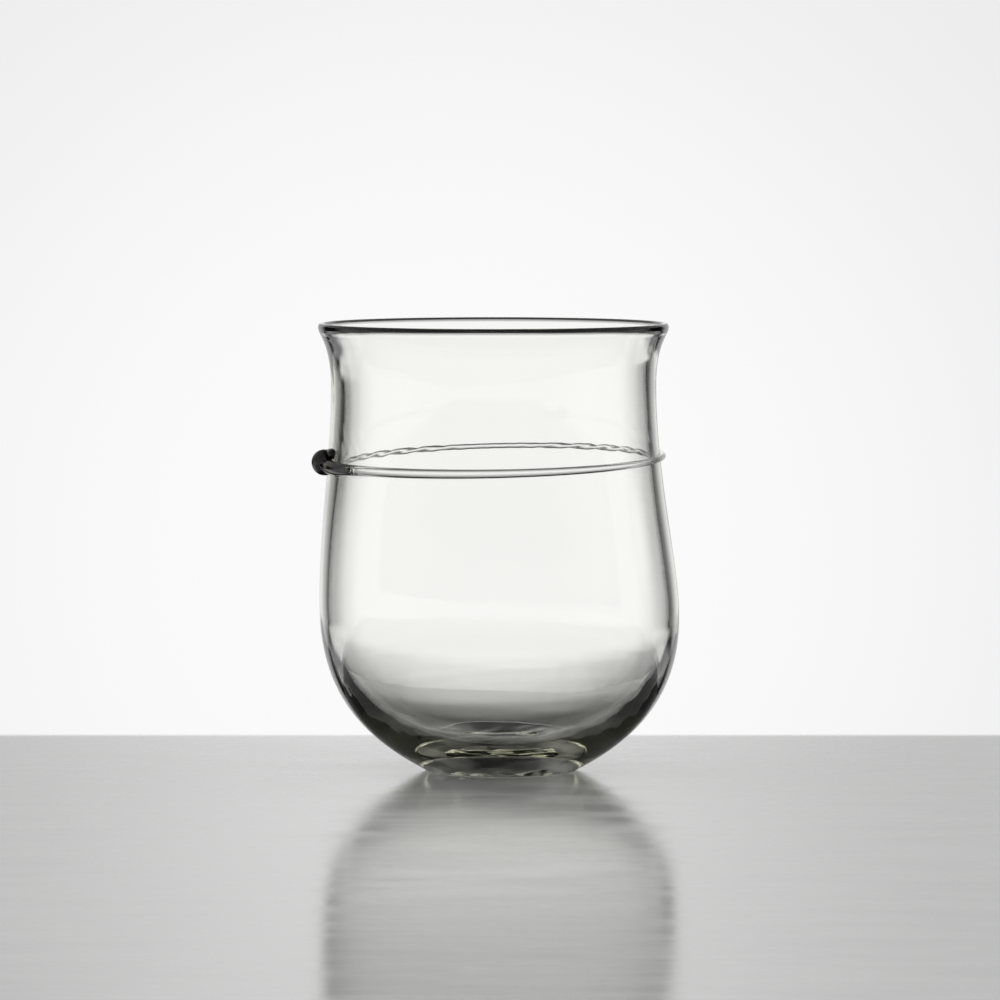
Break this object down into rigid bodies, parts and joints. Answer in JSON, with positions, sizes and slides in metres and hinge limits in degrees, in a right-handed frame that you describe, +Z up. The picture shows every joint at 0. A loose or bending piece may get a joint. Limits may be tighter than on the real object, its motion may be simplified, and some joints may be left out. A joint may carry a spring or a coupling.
{
  "type": "drinking glass",
  "caption": "Hand-blown clear tumbler with a swelling belly, narrow waist, flared lip, heavy small foot and a glass thread laid once round it from a bead.",
  "frame": {"origin": "centre of the flat ring that the glass stands on", "axes": "+Z up along the bowl's axis to the lip, -X towards the bead that starts the thread"},
  "size_m": [0.083, 0.0822, 0.1024],
  "materials": {
    "bowl_glass": "gloss",
    "thread_glass": "gloss"
  },
  "bodies": {
    "root": {"bowl": "bowl_glass", "thread": "thread_glass", "bead": "thread_glass"}
  },
  "joints": []
}
